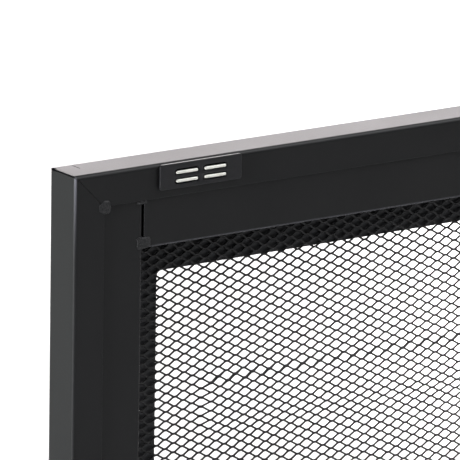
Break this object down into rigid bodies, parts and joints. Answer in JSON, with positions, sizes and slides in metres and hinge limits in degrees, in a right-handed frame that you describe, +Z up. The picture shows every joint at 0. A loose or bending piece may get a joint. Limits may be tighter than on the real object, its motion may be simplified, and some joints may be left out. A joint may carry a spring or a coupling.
{
  "type": "fireplace screen",
  "caption": "Flat fireplace screen: folded sheet-steel frame, expanded-metal panel held by inner retainers, and magnetic catches on the fire side near the top corners.",
  "frame": {"origin": "on the floor under the screen's middle: centre of the bounding box's bottom face", "axes": "+X along the width, to the right as seen from the room; +Y from the room towards the fire; +Z up"},
  "size_m": [0.914, 0.024, 0.66],
  "materials": {
    "frame_coat": "satin black powder coat, fine texture",
    "mesh_coat": "matt black coat on expanded metal",
    "catch_plastic": "moulded, fine matt grain",
    "ferrite": "sintered ferrite, matt",
    "pole_steel": "bright zinc plate"
  },
  "bodies": {
    "frame": {"front_pan": "frame_coat", "mesh_panel": "mesh_coat", "left_retainer": "frame_coat", "top_retainer": "frame_coat", "right_retainer": "frame_coat", "bottom_retainer": "frame_coat", "left_catch_housing": "catch_plastic", "left_catch_cover": "catch_plastic", "right_catch_housing": "catch_plastic", "right_catch_cover": "catch_plastic"},
    "left_outer_pack": {"left_catch_outer_magnet": "ferrite", "left_catch_outer_upper_pole": "pole_steel", "left_catch_outer_lower_pole": "pole_steel"},
    "left_inner_pack": {"left_catch_inner_magnet": "ferrite", "left_catch_inner_upper_pole": "pole_steel", "left_catch_inner_lower_pole": "pole_steel"},
    "right_outer_pack": {"right_catch_outer_magnet": "ferrite", "right_catch_outer_upper_pole": "pole_steel", "right_catch_outer_lower_pole": "pole_steel"},
    "right_inner_pack": {"right_catch_inner_magnet": "ferrite", "right_catch_inner_upper_pole": "pole_steel", "right_catch_inner_lower_pole": "pole_steel"}
  },
  "joints": [
    {"name": "left_outer_pack_float", "type": "slide", "parent": "frame", "child": "left_outer_pack", "axis": [0, 1, 0], "range_m": [-0.0008, 0]},
    {"name": "left_inner_pack_float", "type": "slide", "parent": "frame", "child": "left_inner_pack", "axis": [0, 1, 0], "range_m": [-0.0008, 0]},
    {"name": "right_outer_pack_float", "type": "slide", "parent": "frame", "child": "right_outer_pack", "axis": [0, 1, 0], "range_m": [-0.0008, 0]},
    {"name": "right_inner_pack_float", "type": "slide", "parent": "frame", "child": "right_inner_pack", "axis": [0, 1, 0], "range_m": [-0.0008, 0]}
  ]
}
